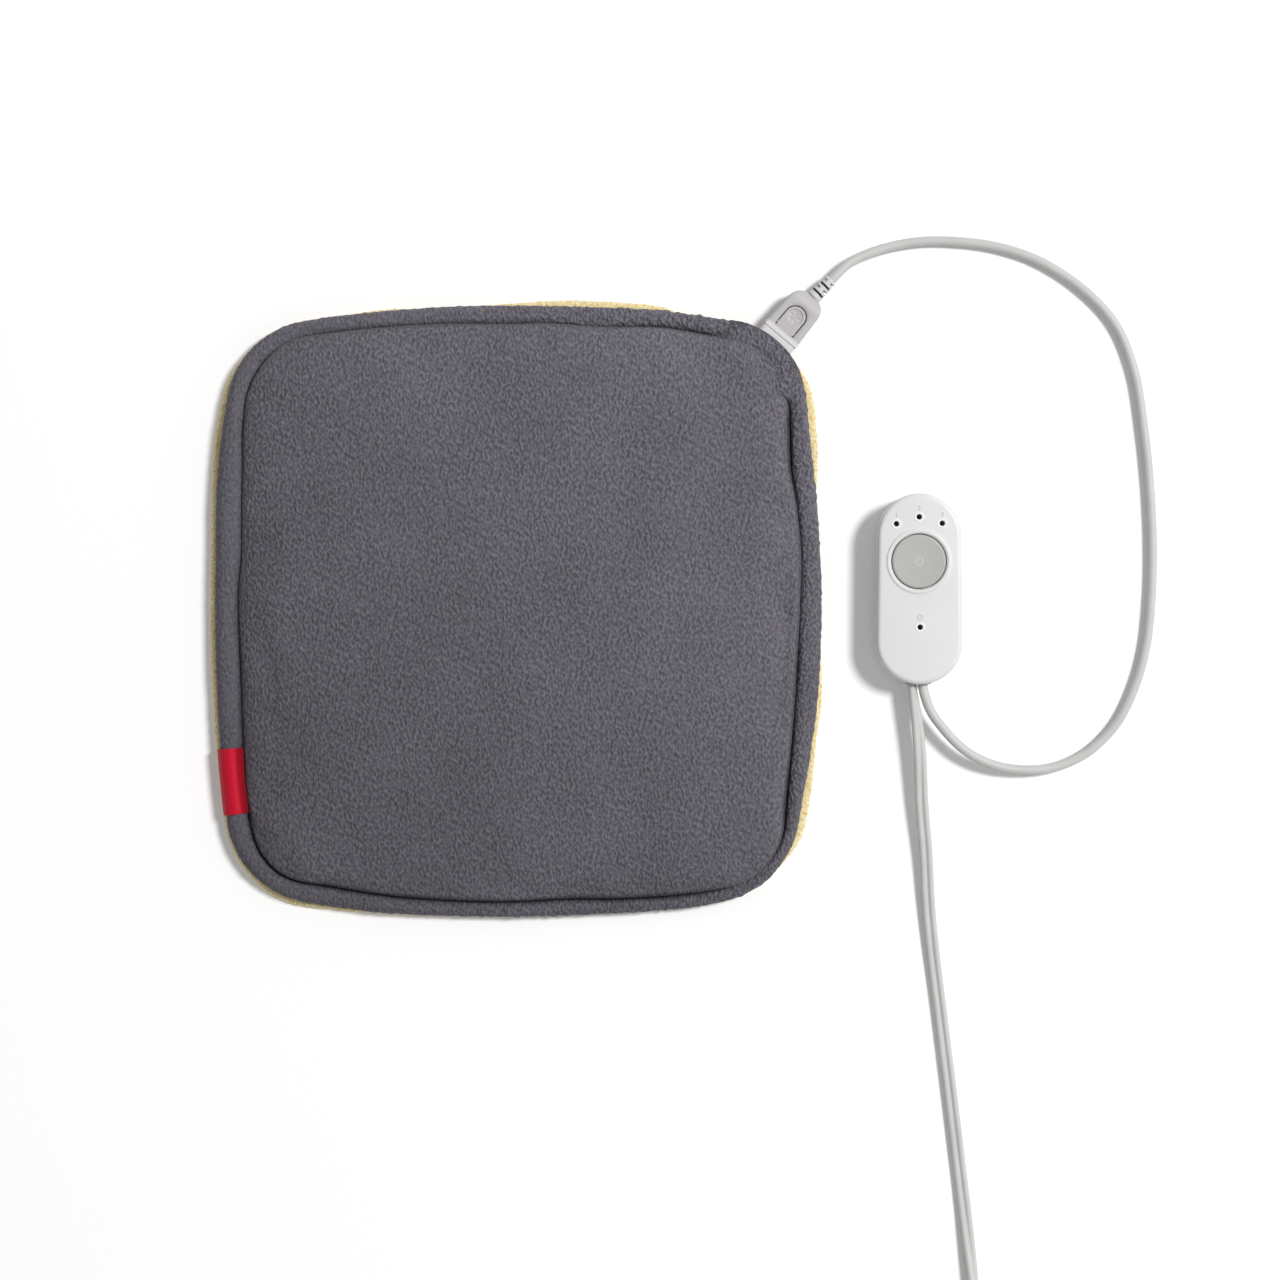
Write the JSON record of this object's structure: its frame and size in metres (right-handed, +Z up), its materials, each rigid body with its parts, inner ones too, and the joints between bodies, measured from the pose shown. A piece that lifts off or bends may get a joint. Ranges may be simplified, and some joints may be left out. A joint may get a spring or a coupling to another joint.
{
  "type": "heating pad with controller",
  "caption": "Square padded heating pad with a fleece cover, a latched plug at one corner, and a push-button hand controller on a coiled mains lead.",
  "frame": {"origin": "middle of the pad, on the flat underside of its back cover", "axes": "+X from the pad towards the controller, +Y towards the edge with the connector corner, +Z up out of the pad's front"},
  "size_m": [0.4737, 0.6395, 0.0197],
  "materials": {
    "grey_fleece": "soft brushed fleece, heathered",
    "yellow_fleece": "soft brushed fleece",
    "woven_tag": "satin weave",
    "core_felt": "felted",
    "heating_cord": "satin",
    "cutout_case": "satin",
    "socket_plastic": "satin",
    "contact_metal": "plated",
    "carrier_plastic": "moulded",
    "plug_plastic": "satin moulded",
    "lead_sheath": "satin vinyl",
    "tie_strap": "hook and loop",
    "plated_steel": "plated",
    "shell_plastic": "fine satin texture",
    "button_plastic": "satin",
    "board_laminate": "solder resist",
    "capacitor_case": "gloss",
    "lamp_lens": "smoked lens",
    "grommet_rubber": "matte"
  },
  "bodies": {
    "pad": {"cover_front": "grey_fleece", "cover_back": "yellow_fleece", "side_tag": "woven_tag", "core_wadding": "core_felt", "core_sheet_upper": "core_felt", "core_sheet_lower": "core_felt", "heating_wire": "heating_cord", "feed_wire_start": "heating_cord", "feed_wire_end": "heating_cord", "thermostat_start": "cutout_case", "thermostat_end": "cutout_case", "socket_housing": "socket_plastic", "socket_pin_1": "contact_metal", "socket_pin_2": "contact_metal", "socket_pin_3": "contact_metal", "socket_pin_4": "contact_metal"},
    "control_set": {"plug_shell_top": "plug_plastic", "plug_shell_bottom": "plug_plastic", "plug_insert": "carrier_plastic", "plug_contact_1": "contact_metal", "plug_contact_2": "contact_metal", "plug_contact_3": "contact_metal", "plug_contact_4": "contact_metal", "plug_strain_relief": "lead_sheath", "pad_lead": "lead_sheath", "mains_lead": "lead_sheath", "mains_coil": "lead_sheath", "coil_tie": "tie_strap", "mains_plug_relief": "lead_sheath", "mains_plug_body": "lead_sheath", "mains_plug_blade_left": "plated_steel", "mains_plug_blade_right": "plated_steel", "controller_shell_top": "shell_plastic", "controller_shell_bottom": "shell_plastic", "circuit_board": "board_laminate", "switch_body": "carrier_plastic", "triac": "carrier_plastic", "capacitor": "capacitor_case", "fuse": "carrier_plastic", "microcontroller": "carrier_plastic", "led_low": "lamp_lens", "led_medium": "lamp_lens", "led_high": "lamp_lens", "led_timer": "lamp_lens", "cord_grommet": "grommet_rubber", "shell_screw_1": "plated_steel", "shell_screw_2": "plated_steel", "shell_screw_3": "plated_steel", "shell_screw_4": "plated_steel"},
    "button": {"power_button": "button_plastic", "switch_plunger": "button_plastic"},
    "latch": {"plug_latch": "plug_plastic"}
  },
  "joints": [
    {"name": "plug_pull", "type": "slide", "parent": "pad", "child": "control_set", "axis": [0.6428, 0.766, 0], "range_m": [0, 0.016]},
    {"name": "button_press", "type": "slide", "parent": "control_set", "child": "button", "axis": [0, 0, -1], "range_m": [0, 0.0012], "stiffness_N_per_m": 1500},
    {"name": "latch_press", "type": "hinge", "parent": "control_set", "child": "latch", "pos_m": [0.1344, 0.14006, 0.01042], "axis": [-0.766, 0.6428, 0], "range_deg": [0, 3.5], "stiffness_Nm_per_rad": 0.5}
  ]
}
